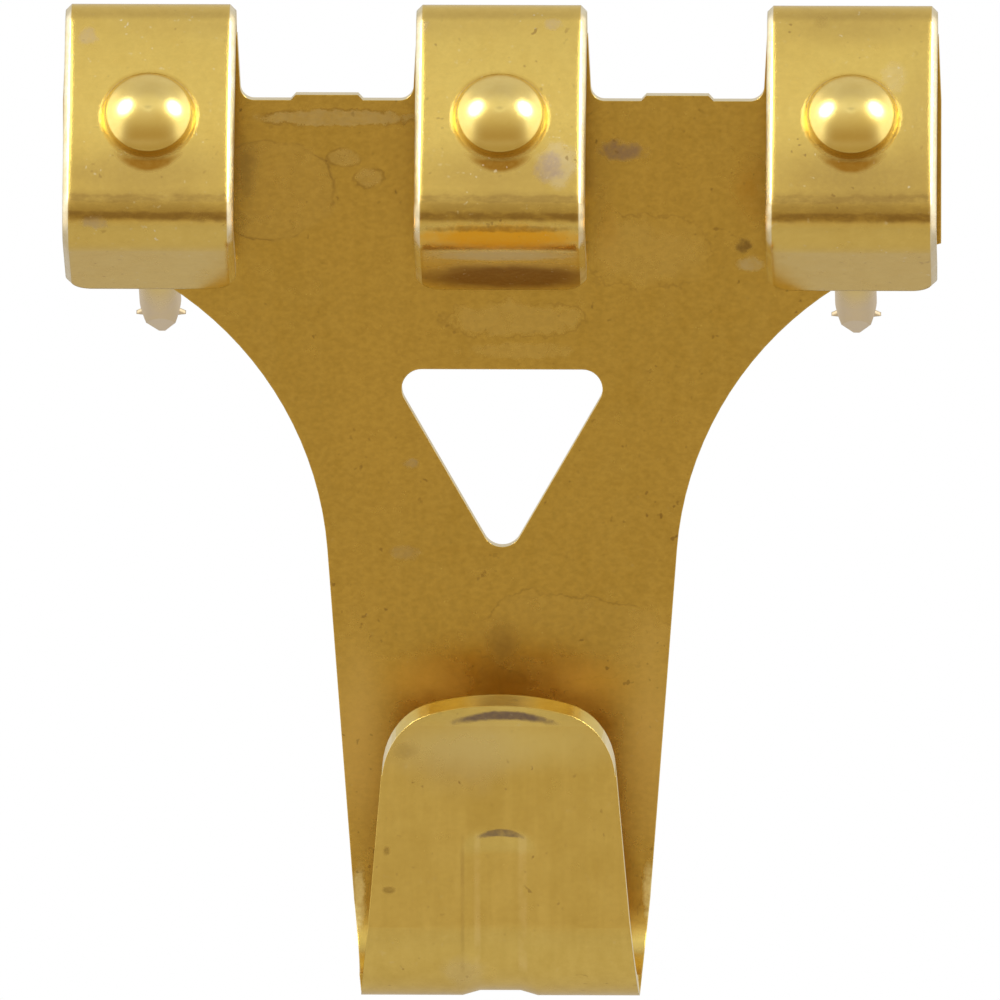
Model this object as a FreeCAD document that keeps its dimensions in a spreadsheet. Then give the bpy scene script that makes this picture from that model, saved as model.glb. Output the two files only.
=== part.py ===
"""A picture hook with three nails: one folded sheet-metal stamping and three domed nails.

The wall is the plane y = 0. The front of the hook faces -Y, the nails run to +Y and +Z is up.
The origin is on the back of the plate, on its centreline, level with its top edge.
"""
import FreeCAD, Part
import math
import os

import Sketcher

# Driving sizes, in millimetres and degrees.
SIZES = {
    # Sheet and plate. Drops are measured down from the plate's top edge.
    "sheet_thickness": 1.0,
    "stem_width": 14.82,
    "stem_taper": 4.3,
    "bend_line_drop": 40.3,
    "flank_radius": 17.3,
    "flank_start_drop": 22.65,
    "stub_base_width": 3.6,
    "stub_top_width": 3.1,
    "stub_height": 0.27,
    # Triangular window, point down.
    "window_side": 11.5,
    "window_drop": 13.54,
    "window_corner_radius": 1.0,
    # Nail loops.
    "tab_pitch": 17.5,
    "tab_root_width": 8.84,
    "tab_root_fillet": 0.7,
    "tab_width": 8.5,
    "tab_rise": 3.28,
    "tab_shoulder": 0.03,
    "tab_edge_bevel": 0.3,
    "loop_top_inside_radius": 0.6,
    "bow_radius": 36.0,
    "bow_start_angle": 40.0,
    "bow_end_angle": 24.0,
    "crease_inside_radius": 1.0,
    "return_angle": 26.7,
    "return_gap": 0.3,
    "return_corner_radius": 1.3,
    # Hook and lip.
    "bend_inside_radius": 3.3,
    "lip_lean": 4.0,
    "lip_straight": 10.28,
    "lip_taper": 5.0,
    "lip_trim": 0.1,
    "lip_crown_radius": 12.0,
    "lip_corner_radius": 3.35,
    "flare_radius": 3.0,
    "flare_angle": 27.0,
    # Bead pressed along the lip and round the bend.
    "bead_width": 3.75,
    "bead_depth": 0.25,
    "bead_wall_angle": 74.0,
    "bead_rise": 4.8,
    "bead_corner_radius": 1.1,
    "bead_run_angle": 45.0,
    # Nails.
    "nail_angle": 31.3,
    "nail_diameter": 2.1,
    "nail_length": 26.4,
    "nail_point_length": 3.6,
    "nail_tip_width": 0.3,
    "head_diameter": 4.2,
    "head_rim": 0.45,
    "dome_height": 0.85,
    "flash_rise": 2.0,
    "flash_span": 2.5,
    "flash_length": 0.8,
    "flash_thickness": 0.2,
    # Seats of the nails in the sheet.
    "seat_diameter": 4.7,
    "seat_depth": 0.12,
    "hole_clearance": 0.1,
    "slot_reach": 2.3,
}

NAIL_SIDES = {"nail_left": -1, "nail_centre": 0, "nail_right": 1}
# Cuts start or end this far outside the metal that they cut.
CUT_MARGIN = 1.0
# An edge is known by its middle, to within this distance.
NEAR = 0.01

doc = FreeCAD.newDocument("PictureHook")
sheet = doc.addObject("Spreadsheet::Sheet", "Sizes")
for row, (alias, size) in enumerate(SIZES.items(), start=1):
    sheet.set(f"A{row}", alias)
    sheet.set(f"B{row}", str(size))
    sheet.setAlias(f"B{row}", alias)
doc.recompute()


def cell(alias):
    """The expression that names one size of the sheet."""
    return f"Sizes.{alias}"


def value(expression):
    """The present number of an expression in the sheet's sizes."""
    result = sheet.evalExpression(str(expression))
    return float(getattr(result, "Value", result))


def polar(centre, radius, angle):
    """The point at a radius and an angle from a centre, all of them expressions."""
    return (f"{centre[0]} + ({radius}) * cos({angle})", f"{centre[1]} + ({radius}) * sin({angle})")


def mirrored(points):
    """The same outline points on the other side of the vertical axis, in reverse order."""
    return [(f"-({u})", v) for u, v in reversed(points)]


def planes(body):
    """The origin planes and axes of a body, by role."""
    return {feature.Role: feature for feature in body.Origin.OriginFeatures}


def place(item, base, angle=None):
    """Bind an attachment offset to expressions: a base point and a turn about the plane's first axis."""
    if angle is not None:
        turn = FreeCAD.Rotation(FreeCAD.Vector(1, 0, 0), value(angle))
        item.AttachmentOffset = FreeCAD.Placement(FreeCAD.Vector(), turn)
        item.setExpression("AttachmentOffset.Rotation.Angle", angle)
    for axis, expression in zip("xyz", base):
        item.setExpression(f"AttachmentOffset.Base.{axis}", str(expression))


def new_sketch(body, name, plane, base=("0", "0", "0"), angle=None):
    """A sketch on one of the body's own origin planes, shifted and turned by expressions."""
    sketch = body.newObject("Sketcher::SketchObject", name)
    sketch.AttachmentSupport = [(planes(body)[plane], "")]
    sketch.MapMode = "FlatFace"
    place(sketch, base, angle)
    return sketch


def bind(sketch, constraint, expression):
    """Add one constraint and bind its datum to an expression."""
    index = sketch.addConstraint(constraint)
    sketch.setExpression(f"Constraints[{index}]", expression)


def draw(sketch, outline):
    """Draw a closed outline: a list of corners, each with the edge that leaves it.

    An edge is None for a straight line, or (centre, radius, turn) for an arc, where turn is 1 for
    counter-clockwise and -1 for clockwise.
    """
    corners = [FreeCAD.Vector(value(u), value(v), 0) for (u, v), _ in outline]
    edges = []
    for number, (_, edge) in enumerate(outline):
        start = corners[number]
        end = corners[(number + 1) % len(corners)]
        if edge is None:
            edges.append((sketch.addGeometry(Part.LineSegment(start, end)), 1, 2))
            continue
        centre, radius, turn = edge
        middle = FreeCAD.Vector(value(centre[0]), value(centre[1]), 0)
        circle = Part.Circle(middle, FreeCAD.Vector(0, 0, 1), value(radius))
        first, last = (start, end) if turn > 0 else (end, start)
        angles = [math.atan2(point.y - middle.y, point.x - middle.x) for point in (first, last)]
        index = sketch.addGeometry(Part.ArcOfCircle(circle, *angles))
        edges.append((index, 1, 2) if turn > 0 else (index, 2, 1))
        bind(sketch, Sketcher.Constraint("Radius", index, value(radius)), radius)
    for number, ((u, v), _) in enumerate(outline):
        index, start, _ = edges[number]
        before, _, end = edges[number - 1]
        sketch.addConstraint(Sketcher.Constraint("Coincident", before, end, index, start))
        bind(sketch, Sketcher.Constraint("DistanceX", -1, 1, index, start, value(u)), u)
        bind(sketch, Sketcher.Constraint("DistanceY", -1, 1, index, start, value(v)), v)


def polygon(points):
    """An outline of straight edges through the points."""
    return [(point, None) for point in points]


def side_view(outline):
    """Turn an outline of (distance in front of the wall, height) into the side plane's own axes."""
    turned = []
    for (front, height), edge in outline:
        if edge is not None:
            centre, radius, turn = edge
            edge = ((f"-({centre[0]})", centre[1]), radius, -turn)
        turned.append(((f"-({front})", height), edge))
    return turned


def add_feature(body, kind, name, sketch, length, symmetric=False, reverse=False):
    """A pad or pocket of a sketch by a length, which may lie half on each side of it."""
    feature = body.newObject(kind, name)
    feature.Profile = sketch
    feature.SideType = "Symmetric" if symmetric else "One side"
    feature.setExpression("Length", length)
    feature.Reversed = reverse
    doc.recompute()
    return feature


def require_cut(body, before, name):
    """Stop if a cut has taken nothing from a body."""
    if not body.Shape.Volume < before - 1e-6:
        raise RuntimeError(f"{name} cuts nothing")


def cut(body, name, sketch, length, symmetric=False, reverse=False):
    """A pocket that is known to take metal away."""
    before = body.Shape.Volume
    feature = add_feature(body, "PartDesign::Pocket", name, sketch, length, symmetric, reverse)
    require_cut(body, before, name)
    return feature


def bore(body, name, diameter, length, base, angle, reverse=False):
    """A round cut on a tilted plane: from the base inwards, or outwards where it is reversed."""
    sketch = new_sketch(body, f"{name}_circle", "XZ_Plane", base, angle)
    circle = Part.Circle(FreeCAD.Vector(), FreeCAD.Vector(0, 0, 1), value(diameter) / 2)
    index = sketch.addGeometry(circle)
    sketch.addConstraint(Sketcher.Constraint("Coincident", index, 3, -1, 1))
    bind(sketch, Sketcher.Constraint("Diameter", index, value(diameter)), diameter)
    cut(body, name, sketch, length, reverse=reverse)


# Sizes that several features share, as expressions.
THICKNESS = cell("sheet_thickness")
PITCH = cell("tab_pitch")
RISE = cell("tab_rise")
BEND_LINE = f"-{cell('bend_line_drop')}"
BEND_INSIDE = cell("bend_inside_radius")
BEND_OUTSIDE = f"({BEND_INSIDE} + {THICKNESS})"
BEND_CENTRE = (BEND_OUTSIDE, BEND_LINE)
STEM_HALF = f"{cell('stem_width')} / 2"
# The blank's taper goes on round the bend, along the middle of the sheet.
QUARTER_BEND = f"tan({cell('stem_taper')}) * ({BEND_INSIDE} + {THICKNESS} / 2) * pi / 2"
BEND_FOOT_HALF = f"({STEM_HALF} - {QUARTER_BEND})"
LIP_FOOT_HALF = f"({STEM_HALF} - 2 * {QUARTER_BEND})"

# The loop's side profile, as arcs about three centres.
LOOP_TOP_RADIUS = f"({cell('loop_top_inside_radius')} + {THICKNESS})"
BOW_RADIUS = cell("bow_radius")
BOW_START = cell("bow_start_angle")
BOW_END = cell("bow_end_angle")
CREASE_RADIUS = f"({cell('crease_inside_radius')} + {THICKNESS})"
LOOP_TOP_CENTRE = (LOOP_TOP_RADIUS, RISE)
BOW_CENTRE = polar(LOOP_TOP_CENTRE, f"{LOOP_TOP_RADIUS} - {BOW_RADIUS}", BOW_START)
CREASE_CENTRE = polar(BOW_CENTRE, f"{BOW_RADIUS} - {CREASE_RADIUS}", BOW_END)

# The nail's axis crosses the bowed front square, and its head rests on a flat coined there.
NAIL_ANGLE = cell("nail_angle")
SEAT = polar(BOW_CENTRE, f"{BOW_RADIUS} - {cell('seat_depth')}", NAIL_ANGLE)
HOLE_DIAMETER = f"({cell('flash_span')} + {cell('hole_clearance')})"


def nail_height(front):
    """The height of a nail's axis at a distance in front of the wall."""
    return f"{SEAT[1]} - ({SEAT[0]} - ({front})) * tan({NAIL_ANGLE})"


def plate_side():
    """One side of the plate's outline, from the centre tab round to the bend line."""
    root_half = f"{cell('tab_root_width')} / 2"
    tab_half = f"({cell('tab_width')} / 2 + {cell('tab_shoulder')})"
    fillet = cell("tab_root_fillet")
    taper = cell("stem_taper")
    flank_top = f"{PITCH} + {root_half}"
    flank_foot_half = f"{STEM_HALF} + ({cell('bend_line_drop')} - {cell('flank_start_drop')}) * tan({taper})"
    flank_foot = (flank_foot_half, f"-{cell('flank_start_drop')}")
    flank_centre = polar(flank_foot, cell("flank_radius"), f"-{taper}")
    flank_reach = f"{flank_centre[0]} - ({flank_top})"
    flank_height = f"{flank_centre[1]} + sqrt({cell('flank_radius')}^2 - ({flank_reach})^2)"
    corner = [
        ((tab_half, RISE), None),
        ((root_half, fillet), ((f"{root_half} + {fillet}", fillet), fillet, 1)),
        ((f"{root_half} + {fillet}", "0"), None),
    ]
    stub = [
        (f"{PITCH} / 2 - {cell('stub_base_width')} / 2", "0"),
        (f"{PITCH} / 2 - {cell('stub_top_width')} / 2", cell("stub_height")),
        (f"{PITCH} / 2 + {cell('stub_top_width')} / 2", cell("stub_height")),
        (f"{PITCH} / 2 + {cell('stub_base_width')} / 2", "0"),
    ]
    root_start = f"{PITCH} - {root_half} - {fillet}"
    outer_tab = [
        ((root_start, "0"), ((root_start, fillet), fillet, 1)),
        ((f"{PITCH} - {root_half}", fillet), None),
        ((f"{PITCH} - {tab_half}", RISE), None),
        ((f"{PITCH} + {tab_half}", RISE), None),
        ((flank_top, "0"), None),
        ((flank_top, flank_height), (flank_centre, cell("flank_radius"), 1)),
        (flank_foot, None),
        ((STEM_HALF, BEND_LINE), None),
    ]
    return corner + polygon(stub) + outer_tab


def other_side(outline):
    """The mirror image of a side's outline, in reverse, so that the two make one closed outline."""
    corners = [(f"-({u})", v) for (u, v), _ in reversed(outline)]
    edges = [edge for _, edge in reversed(outline)][1:] + [None]
    flipped = []
    for edge in edges:
        if edge is not None:
            centre, radius, turn = edge
            edge = ((f"-({centre[0]})", centre[1]), radius, turn)
        flipped.append(edge)
    return list(zip(corners, flipped))


def window_outline():
    """The triangular window with rounded corners."""
    side = cell("window_side")
    radius = cell("window_corner_radius")
    top = f"-{cell('window_drop')}"
    inset = f"({radius} / tan(30))"
    apex = f"{top} - {side} * sin(60)"
    left = (f"-{side} / 2 + {inset}", f"{top} - {radius}")
    right = (f"{side} / 2 - {inset}", f"{top} - {radius}")
    foot = ("0", f"{apex} + 2 * {radius}")
    return [
        ((left[0], top), None),
        ((right[0], top), (right, radius, -1)),
        ((f"{side} / 2 - {inset} / 2", f"{top} - {inset} * sin(60)"), None),
        ((f"{inset} / 2", f"{apex} + {inset} * sin(60)"), (foot, radius, -1)),
        ((f"-{inset} / 2", f"{apex} + {inset} * sin(60)"), None),
        ((f"-{side} / 2 + {inset} / 2", f"{top} - {inset} * sin(60)"), (left, radius, -1)),
    ]


# The strip ends just short of the plate, behind the crease.
RETURN_SLOPE = cell("return_angle")
CREASE_END = f"({RETURN_SLOPE} - 90)"
RETURN_START = polar(CREASE_CENTRE, CREASE_RADIUS, CREASE_END)
RETURN_FRONT = f"{THICKNESS} + {cell('return_gap')} + {THICKNESS} * sin({RETURN_SLOPE})"
RETURN_DROP = f"({RETURN_START[0]} - ({RETURN_FRONT})) * tan({RETURN_SLOPE})"
RETURN_TIP = (RETURN_FRONT, f"{RETURN_START[1]} - {RETURN_DROP}")


def loop_outline():
    """The side profile of a nail loop: over the top, down the bowed front, round the crease and back."""
    inner = polar(CREASE_CENTRE, cell("crease_inside_radius"), CREASE_END)
    inner_tip = polar(RETURN_TIP, THICKNESS, f"(90 + {RETURN_SLOPE})")
    bow_inside = f"({BOW_RADIUS} - {THICKNESS})"
    top_inside = cell("loop_top_inside_radius")
    return [
        (("0", RISE), (LOOP_TOP_CENTRE, LOOP_TOP_RADIUS, -1)),
        (polar(LOOP_TOP_CENTRE, LOOP_TOP_RADIUS, BOW_START), (BOW_CENTRE, BOW_RADIUS, -1)),
        (polar(BOW_CENTRE, BOW_RADIUS, BOW_END), (CREASE_CENTRE, CREASE_RADIUS, -1)),
        (RETURN_START, None),
        (RETURN_TIP, None),
        (inner_tip, None),
        (inner, (CREASE_CENTRE, cell("crease_inside_radius"), 1)),
        (polar(BOW_CENTRE, bow_inside, BOW_END), (BOW_CENTRE, bow_inside, 1)),
        (polar(BOW_CENTRE, bow_inside, BOW_START), (LOOP_TOP_CENTRE, top_inside, 1)),
        ((THICKNESS, RISE), None),
    ]


# The lip leaves the bend with a slight lean and flares out at its top.
LIP_LEAN = cell("lip_lean")
LIP_FOOT = polar(BEND_CENTRE, BEND_OUTSIDE, f"-{LIP_LEAN}")
FLARE_FOOT = polar(LIP_FOOT, cell("lip_straight"), f"(90 - {LIP_LEAN})")
FLARE_CENTRE = polar(FLARE_FOOT, cell("flare_radius"), f"-{LIP_LEAN}")
FLARE_INSIDE = f"({cell('flare_radius')} + {THICKNESS})"
FLARE_END = f"(180 - {cell('flare_angle')})"
LIP_TOP = polar(FLARE_CENTRE, FLARE_INSIDE, FLARE_END)


def hook_outline():
    """The side profile of the hook: round the bend, up the lip and out along the flare."""
    flare_start = f"(180 - {LIP_LEAN})"
    foot_outside = (BEND_OUTSIDE, f"{BEND_LINE} - {BEND_OUTSIDE}")
    foot_inside = (BEND_OUTSIDE, f"{BEND_LINE} - {BEND_INSIDE}")
    return [
        (("0", BEND_LINE), (BEND_CENTRE, BEND_OUTSIDE, 1)),
        (foot_outside, (BEND_CENTRE, BEND_OUTSIDE, 1)),
        (LIP_FOOT, None),
        (FLARE_FOOT, (FLARE_CENTRE, cell("flare_radius"), -1)),
        (polar(FLARE_CENTRE, cell("flare_radius"), FLARE_END), None),
        (LIP_TOP, (FLARE_CENTRE, FLARE_INSIDE, 1)),
        (polar(FLARE_CENTRE, FLARE_INSIDE, flare_start), None),
        (polar(BEND_CENTRE, BEND_INSIDE, f"-{LIP_LEAN}"), (BEND_CENTRE, BEND_INSIDE, -1)),
        (foot_inside, (BEND_CENTRE, BEND_INSIDE, -1)),
        ((THICKNESS, BEND_LINE), None),
    ]


def side_waste(points):
    """Two closed outlines of the metal outside an edge line that runs up the right-hand side."""
    outside = f"{STEM_HALF} + {CUT_MARGIN}"
    right = points + [(outside, points[-1][1]), (outside, points[0][1])]
    return polygon(right), polygon(mirrored(right))


def make_plate(body):
    """The flat plate with its tab strips, flanks, carrier stubs and window."""
    sketch = new_sketch(body, "plate_outline", "XZ_Plane")
    side = plate_side()
    draw(sketch, side + other_side(side))
    draw(sketch, window_outline())
    add_feature(body, "PartDesign::Pad", "plate", sketch, THICKNESS)


def make_hook(body):
    """The bend and the lip, padded at the stem's width and trimmed to the blank's taper."""
    sketch = new_sketch(body, "hook_profile", "YZ_Plane")
    draw(sketch, side_view(hook_outline()))
    add_feature(body, "PartDesign::Pad", "hook", sketch, cell("stem_width"), symmetric=True)
    foot = f"{BEND_LINE} - {BEND_OUTSIDE}"
    below = (BEND_FOOT_HALF, f"{foot} - {CUT_MARGIN}")
    middle = ("0", "0", BEND_OUTSIDE)
    rear = new_sketch(body, "rear_bend_waste", "XZ_Plane", middle)
    for outline in side_waste([below, (BEND_FOOT_HALF, foot), (STEM_HALF, BEND_LINE)]):
        draw(rear, outline)
    cut(body, "rear_bend_taper", rear, f"{BEND_OUTSIDE} + {CUT_MARGIN}")
    lip_height = f"{LIP_TOP[1]} + {CUT_MARGIN}"
    lip_half = f"{LIP_FOOT_HALF} - ({lip_height} - ({BEND_LINE})) * tan({cell('lip_taper')})"
    front = new_sketch(body, "lip_waste", "XZ_Plane", middle)
    edge = [below, (BEND_FOOT_HALF, foot), (LIP_FOOT_HALF, BEND_LINE), (lip_half, lip_height)]
    for outline in side_waste(edge):
        draw(front, outline)
    lip_depth = f"{LIP_TOP[0]} + {CUT_MARGIN}"
    cut(body, "lip_taper_trim", front, lip_depth, reverse=True)


def make_lip_corners(body):
    """The crowned top of the lip and its round corners, cut square to the flared end."""
    flare = cell("flare_angle")
    taper = cell("lip_taper")
    crown = cell("lip_crown_radius")
    radius = cell("lip_corner_radius")
    sketch = new_sketch(body, "lip_top_waste", "XZ_Plane", ("0", LIP_TOP[1], LIP_TOP[0]), flare)
    crown_centre = ("0", f"-{crown} - {cell('lip_trim')}")
    # The corner's circle touches the crown from inside and the tapered side. Its centre lies on a
    # line beside that side, at the depth that leaves it the two radii's difference from the crown's centre.
    top_half = f"({LIP_FOOT_HALF} - ({LIP_TOP[1]} - ({BEND_LINE})) * tan({taper}))"
    reach = f"({top_half} - {radius} / cos({taper}) - ({crown_centre[1]}) * tan({taper}))"
    gap = f"({crown} - {radius})"
    depth = f"sqrt({gap}^2 - ({reach} * cos({taper}))^2)"
    climb = f"(cos({taper}) * ({reach} * sin({taper}) + {depth}))"
    across = f"({reach} - {climb} * tan({taper}))"
    centre = (across, f"{crown_centre[1]} + {climb}")
    on_side = polar(centre, radius, taper)
    on_crown = (f"{across} * {crown} / {gap}", f"{crown_centre[1]} + {climb} * {crown} / {gap}")
    outside = f"{STEM_HALF} + {CUT_MARGIN}"
    right = [
        ((outside, f"{CUT_MARGIN}"), None),
        ((outside, on_side[1]), None),
        (on_side, (centre, radius, 1)),
        (on_crown, (crown_centre, crown, 1)),
    ]
    draw(sketch, right + other_side(right))
    cut(body, "lip_top", sketch, f"2 * ({THICKNESS} + {radius})", symmetric=True)


def make_loop(body, name, side):
    """A nail loop with the coined seat for the head, the nail's hole and its slot in the plate."""
    across = f"{side} * {PITCH}"
    sketch = new_sketch(body, f"{name}_loop_profile", "YZ_Plane", ("0", "0", across))
    draw(sketch, side_view(loop_outline()))
    add_feature(body, "PartDesign::Pad", f"{name}_loop", sketch, cell("tab_width"), symmetric=True)
    base = (across, SEAT[1], SEAT[0])
    turn = f"-{NAIL_ANGLE}"
    seat_cut = f"{cell('seat_depth')} + {CUT_MARGIN}"
    bore(body, f"{name}_seat", cell("seat_diameter"), seat_cut, base, turn, reverse=True)
    bore(body, f"{name}_hole", HOLE_DIAMETER, f"2 * {THICKNESS}", base, turn)
    slot = new_sketch(body, f"{name}_slot_outline", "XZ_Plane", (across, "0", "0"))
    draw(slot, slot_outline())
    cut(body, f"{name}_slot", slot, f"2 * {THICKNESS} + {CUT_MARGIN}", symmetric=True)


def slot_outline():
    """The upright slot that lets a slanting nail through the plate and clear of it behind the wall plane."""
    half = f"{HOLE_DIAMETER} / 2"
    nail_half = f"({cell('nail_diameter')} / 2 + {cell('hole_clearance')}) / cos({NAIL_ANGLE})"
    top = f"{nail_height(THICKNESS)} + {nail_half}"
    foot = f"{nail_height('-' + cell('slot_reach'))} - {nail_half}"
    upper = ("0", f"{top} - {half}")
    lower = ("0", f"{foot} + {half}")
    return [
        ((f"-{half}", lower[1]), (lower, half, 1)),
        (("0", foot), (lower, half, 1)),
        ((half, lower[1]), None),
        ((half, upper[1]), (upper, half, 1)),
        (("0", top), (upper, half, 1)),
        ((f"-{half}", upper[1]), None),
    ]


def find_edges(body, spots):
    """The names of the body's edges that have their middles at the spots."""
    names = []
    for number, edge in enumerate(body.Shape.Edges, start=1):
        middle = edge.valueAt((edge.FirstParameter + edge.LastParameter) / 2)
        if any(middle.distanceToPoint(spot) < NEAR for spot in spots):
            names.append(f"Edge{number}")
    if len(names) != len(spots):
        raise RuntimeError(f"{len(names)} edges found at {len(spots)} spots")
    return names


def tab_spots(front, height):
    """The points on both sides of each loop at a distance in front of the wall and a height."""
    half = value(cell("tab_width")) / 2
    centres = [side * value(PITCH) for side in NAIL_SIDES.values()]
    return [
        FreeCAD.Vector(centre + sign * half, -value(front), value(height))
        for centre in centres for sign in (-1, 1)
    ]


def dress_edges(body, kind, name, spots, size, measure):
    """A fillet or a bevel on the edges with their middles at the spots, and on those that run on."""
    names = find_edges(body, spots)
    shape_before = body.Tip
    feature = body.newObject(kind, name)
    feature.Base = (shape_before, names)
    feature.setExpression(size, measure)
    before = body.Shape.Volume
    doc.recompute()
    require_cut(body, before, name)


def make_soft_edges(body):
    """The round corners of the strips' free ends, and the bevelled outer edges of the loops."""
    middle = polar(RETURN_TIP, f"{THICKNESS} / 2", f"(90 + {RETURN_SLOPE})")
    corners = tab_spots(*middle)
    dress_edges(body, "PartDesign::Fillet", "return_corners", corners, "Radius", cell("return_corner_radius"))
    bow = tab_spots(*polar(BOW_CENTRE, BOW_RADIUS, f"({BOW_START} + {BOW_END}) / 2"))
    dress_edges(body, "PartDesign::Chamfer", "tab_edges", bow, "Size", cell("tab_edge_bevel"))


BEAD_HALF = f"{cell('bead_width')} / 2"
BEAD_DEPTH = cell("bead_depth")
BEAD_RUN = f"({BEAD_DEPTH} * tan({cell('bead_wall_angle')}))"
BEAD_TURN = f"(90 + {cell('bead_run_angle')} - {LIP_LEAN})"


def bead_section(radius):
    """The bead's section about one face of the sheet, seen from the bend's axis."""
    wide = f"{BEAD_HALF} + {BEAD_RUN}"
    narrow = f"{BEAD_HALF} - {BEAD_RUN}"
    far = f"-({radius} + {BEAD_DEPTH})"
    near = f"-({radius} - {BEAD_DEPTH})"
    return polygon([(wide, far), (narrow, near), (f"-({narrow})", near), (f"-({wide})", far)])


def bead_end():
    """The bead's upper end on the lip, with round corners."""
    radius = cell("bead_corner_radius")
    shoulder = f"{cell('bead_rise')} - {radius}"
    foot = f"{cell('bead_rise')} / 4"
    right = [
        ((BEAD_HALF, foot), None),
        ((BEAD_HALF, shoulder), ((f"{BEAD_HALF} - {radius}", shoulder), radius, 1)),
        ((f"{BEAD_HALF} - {radius}", cell("bead_rise")), None),
    ]
    return right + other_side(right)


def make_bead(body):
    """The bead: sunk into the outside of the lip and the bend, and raised by as much on the inside."""
    centre = ("0", f"-{BEND_CENTRE[0]}", BEND_CENTRE[1])
    straight = f"{cell('bead_rise')} / 2"
    for face, radius, raised in (("outside", BEND_OUTSIDE, False), ("inside", BEND_INSIDE, True)):
        before = body.Shape.Volume
        extruded, turned = ("Pad", "Revolution") if raised else ("Pocket", "Groove")
        foot = polar(BEND_CENTRE, radius, f"-{LIP_LEAN}")
        outline = new_sketch(body, f"bead_end_{face}", "XZ_Plane", ("0", foot[1], foot[0]), LIP_LEAN)
        draw(outline, bead_end())
        end = add_feature(
            body, f"PartDesign::{extruded}", f"bead_tip_{face}", outline, BEAD_DEPTH, reverse=raised
        )
        end.setExpression("TaperAngle", f"-{cell('bead_wall_angle')}")
        section = new_sketch(body, f"bead_section_{face}", "XY_Plane", centre, LIP_LEAN)
        draw(section, bead_section(radius))
        add_feature(
            body, f"PartDesign::{extruded}", f"bead_straight_{face}", section, straight, reverse=not raised
        )
        bend = body.newObject(f"PartDesign::{turned}", f"bead_bend_{face}")
        bend.Profile = section
        bend.ReferenceAxis = (section, ["H_Axis"])
        bend.setExpression("Angle", BEAD_TURN)
        doc.recompute()
        if (body.Shape.Volume > before) != raised:
            raise RuntimeError(f"the bead goes the wrong way on the {face}")


def make_hook_body():
    """The folded stamping."""
    body = doc.addObject("PartDesign::Body", "hook_body")
    make_plate(body)
    make_hook(body)
    make_lip_corners(body)
    make_bead(body)
    for name, side in NAIL_SIDES.items():
        make_loop(body, name, side)
    make_soft_edges(body)
    return body


def nail_profile():
    """Half of a nail's section: dome, rim, flat under the head and plain shank."""
    head_half = f"{cell('head_diameter')} / 2"
    shank_half = f"{cell('nail_diameter')} / 2"
    dome = cell("dome_height")
    dome_radius = f"(({head_half})^2 + {dome}^2) / (2 * {dome})"
    crown = f"{cell('head_rim')} + {dome}"
    return [
        (("0", f"-{cell('nail_length')}"), None),
        ((shank_half, f"-{cell('nail_length')}"), None),
        ((shank_half, "0"), None),
        ((head_half, "0"), None),
        ((head_half, cell("head_rim")), (("0", f"{crown} - {dome_radius}"), dome_radius, 1)),
        (("0", crown), None),
    ]


def point_waste():
    """Two closed outlines of the metal that the nail's point loses on one pair of sides."""
    foot = f"-{cell('nail_length')}"
    shoulder = f"{cell('nail_point_length')} + {foot}"
    outside = f"{cell('nail_diameter')} / 2 + {CUT_MARGIN}"
    tip_half = f"{cell('nail_tip_width')} / 2"
    shank_half = f"{cell('nail_diameter')} / 2"
    right = [
        (tip_half, f"{foot} - {CUT_MARGIN}"),
        (outside, f"{foot} - {CUT_MARGIN}"),
        (outside, shoulder),
        (shank_half, shoulder),
        (tip_half, foot),
    ]
    return polygon(right), polygon(mirrored(right))


def flash_fins():
    """The two thin fins squeezed out at the sides of the point."""
    level = f"{cell('flash_rise')} - {cell('nail_length')}"
    inside = f"{cell('nail_diameter')} / 4"
    tip = f"{cell('flash_span')} / 2"
    right = [
        (inside, f"{level} - {cell('flash_length')} / 4"),
        (tip, level),
        (inside, f"{level} + {cell('flash_length')}"),
    ]
    return polygon(right), polygon(mirrored(right))


def make_nail(name, side):
    """One nail, turned about its own upright axis and then set into its loop."""
    body = doc.addObject("PartDesign::Body", name)
    sketch = new_sketch(body, f"{name}_profile", "XZ_Plane")
    draw(sketch, nail_profile())
    turned = body.newObject("PartDesign::Revolution", f"{name}_turned")
    turned.Profile = sketch
    turned.ReferenceAxis = (sketch, ["V_Axis"])
    turned.Angle = 360
    doc.recompute()
    for plane in ("XZ_Plane", "YZ_Plane"):
        waste = new_sketch(body, f"{name}_point_{plane[:2].lower()}", plane)
        for outline in point_waste():
            draw(waste, outline)
        cut(body, f"{name}_facets_{plane[:2].lower()}", waste, f"2 * {cell('nail_diameter')}", symmetric=True)
    fins = new_sketch(body, f"{name}_fins", "XZ_Plane")
    for outline in flash_fins():
        draw(fins, outline)
    add_feature(body, "PartDesign::Pad", f"{name}_flash", fins, cell("flash_thickness"), symmetric=True)
    tilt = f"90 - {NAIL_ANGLE}"
    body.Placement = FreeCAD.Placement(
        FreeCAD.Vector(), FreeCAD.Rotation(FreeCAD.Vector(1, 0, 0), value(tilt))
    )
    body.setExpression("Placement.Rotation.Angle", tilt)
    body.setExpression("Placement.Base.x", f"{side} * {PITCH}")
    body.setExpression("Placement.Base.y", f"-({SEAT[0]})")
    body.setExpression("Placement.Base.z", SEAT[1])
    return body


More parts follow.
